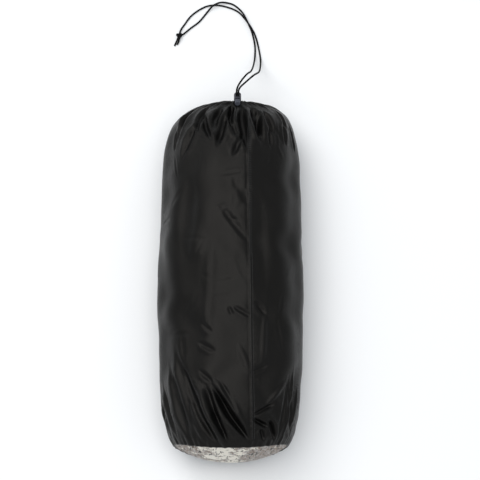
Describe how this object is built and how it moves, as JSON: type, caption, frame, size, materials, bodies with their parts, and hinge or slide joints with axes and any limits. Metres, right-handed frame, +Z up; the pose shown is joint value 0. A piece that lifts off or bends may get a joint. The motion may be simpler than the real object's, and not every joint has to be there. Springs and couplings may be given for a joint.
{
  "type": "packed bivy sack",
  "caption": "Bivy sack rolled up in its drawcord stuff sack, lying on its side, with a barrel cord lock, a knotted drawcord loop and a patterned round bottom.",
  "frame": {"origin": "middle of the underside of the packed sack with its lock, on the surface it lies on", "axes": "+Z up, +Y along the sack from the round bottom to the drawn mouth, +X to the right seen from above with the mouth away from the viewer"},
  "size_m": [0.1866, 0.6253, 0.138],
  "materials": {
    "sack_fabric": "black coated ripstop fabric",
    "printed_fabric": "bark-like mottled print",
    "seam_tape": "black woven tape",
    "cord": "black braided cord",
    "lock_plastic": "moulded",
    "button_plastic": "moulded",
    "spring_steel": "drawn wire",
    "floor_fabric": "coated waterproof floor fabric",
    "top_fabric": "breathable top fabric",
    "mesh": "fine mesh",
    "zip_tape": "woven zip tape",
    "zip_plastic": "nylon coil",
    "zip_metal": "black enamel",
    "small_bag_fabric": "plain weave",
    "pole_alloy": "anodised",
    "ferrule_alloy": "plain",
    "stake_alloy": "anodised"
  },
  "bodies": {
    "sack": {"sack_body": "sack_fabric", "bottom_panel": "printed_fabric", "bottom_seam_tape": "seam_tape", "side_seam_tape": "seam_tape", "hem_channel": "sack_fabric", "drawcord_ring": "cord", "cord_strand_left": "cord", "cord_strand_right": "cord", "cord_tail_left": "cord", "cord_tail_right": "cord", "cord_knot": "cord", "bivy_floor": "floor_fabric", "bivy_top": "top_fabric", "mesh_panel": "mesh", "zip_tape_left": "zip_tape", "zip_tape_right": "zip_tape", "zip_coil": "zip_plastic", "zip_slider": "zip_metal", "zip_pull": "zip_metal", "pole_bag": "small_bag_fabric", "stake_bag": "small_bag_fabric", "pole_section_1": "pole_alloy", "pole_section_2": "pole_alloy", "pole_section_3": "pole_alloy", "pole_section_4": "pole_alloy", "pole_ferrule_1": "ferrule_alloy", "pole_ferrule_2": "ferrule_alloy", "pole_ferrule_3": "ferrule_alloy", "tent_stakes": "stake_alloy", "stake_loops": "seam_tape"},
    "lock": {"lock_body": "lock_plastic", "lock_spring": "spring_steel"},
    "plunger": {"lock_plunger": "button_plastic"}
  },
  "joints": [
    {"name": "lock_slide", "type": "slide", "parent": "sack", "child": "lock", "axis": [0, 0.5736, 0.8192], "range_m": [0, 0.007]},
    {"name": "lock_press", "type": "slide", "parent": "lock", "child": "plunger", "axis": [0, 0.8192, -0.5736], "range_m": [0, 0.003], "stiffness_N_per_m": 1000, "springref_m": -0.002, "deforming": ["lock_spring"]}
  ]
}
